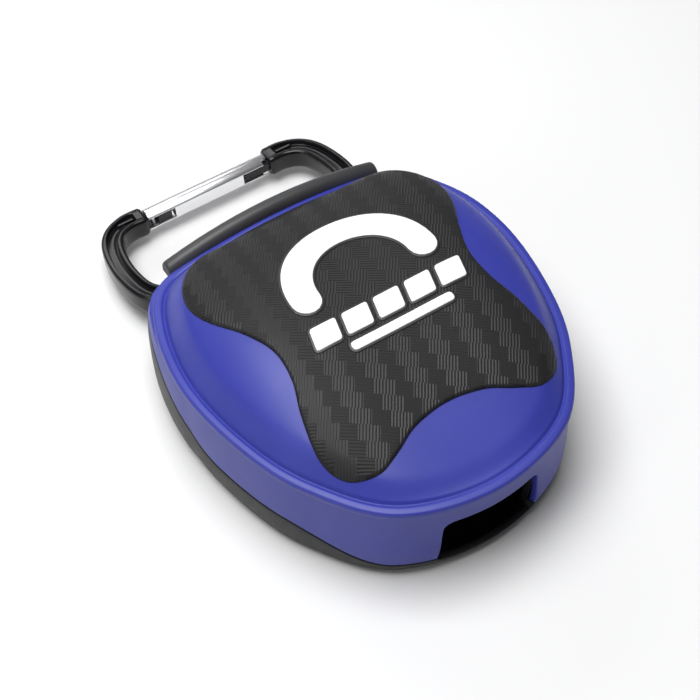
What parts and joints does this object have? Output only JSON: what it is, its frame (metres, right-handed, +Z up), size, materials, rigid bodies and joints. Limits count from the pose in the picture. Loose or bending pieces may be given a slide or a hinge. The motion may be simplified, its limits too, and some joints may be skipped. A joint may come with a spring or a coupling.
{
  "type": "mouthguard in a case",
  "caption": "Mouthguard in a domed pocket case: hinged blue lid with a grip pad over a black base, with a snap carabiner on its rear lug.",
  "frame": {"origin": "on the flat underside of the base, at the middle of the case's width and 37 mm behind its front", "axes": "+Z up from the underside to the lid's dome, -Y to the front with the window, +Y to the hinge and the carabiner, +X to the right seen from the front"},
  "size_m": [0.0796, 0.1164, 0.0381],
  "materials": {
    "base_plastic": "satin black moulded plastic",
    "lid_plastic": "satin royal blue, slightly translucent",
    "pad_rubber": "black rubber with a ribbed weave texture",
    "bar_rubber": "smooth matte black rubber",
    "emblem_white": "white, satin",
    "pin_steel": "bright steel",
    "carabiner_black": "gloss black coating",
    "gate_aluminium": "brushed",
    "guard_rubber": "satin black rubber",
    "guard_gel": "soft dark blue gel"
  },
  "bodies": {
    "base": {"base_shell": "base_plastic", "hinge_pin": "pin_steel", "mouthguard_frame": "guard_rubber", "mouthguard_liner": "guard_gel"},
    "lid": {"lid_shell": "lid_plastic", "lid_grip_pad": "pad_rubber", "rear_grip_bar": "bar_rubber", "emblem_arch": "emblem_white", "emblem_block_1": "emblem_white", "emblem_block_2": "emblem_white", "emblem_block_3": "emblem_white", "emblem_block_4": "emblem_white", "emblem_block_5": "emblem_white", "emblem_stripe": "emblem_white"},
    "carabiner": {"carabiner_body": "carabiner_black", "gate_pivot_pin": "pin_steel"},
    "gate": {"carabiner_gate": "gate_aluminium", "gate_catch_pin": "pin_steel", "gate_spring": "pin_steel", "gate_plunger": "pin_steel"}
  },
  "joints": [
    {"name": "lid_hinge", "type": "hinge", "parent": "base", "child": "lid", "pos_m": [0, 0.0493, 0.0189], "axis": [-1, 0, 0], "range_deg": [0, 105]},
    {"name": "carabiner_swing", "type": "hinge", "parent": "base", "child": "carabiner", "pos_m": [0, 0.0489, 0.0083], "axis": [-1, 0, 0], "range_deg": [-40, 80]},
    {"name": "gate_hinge", "type": "hinge", "parent": "carabiner", "child": "gate", "pos_m": [0.0132, 0.07594, 0.00532], "axis": [0, 0.1097, 0.994], "range_deg": [0, 28], "stiffness_Nm_per_rad": 0.05, "springref_deg": -17.19}
  ]
}
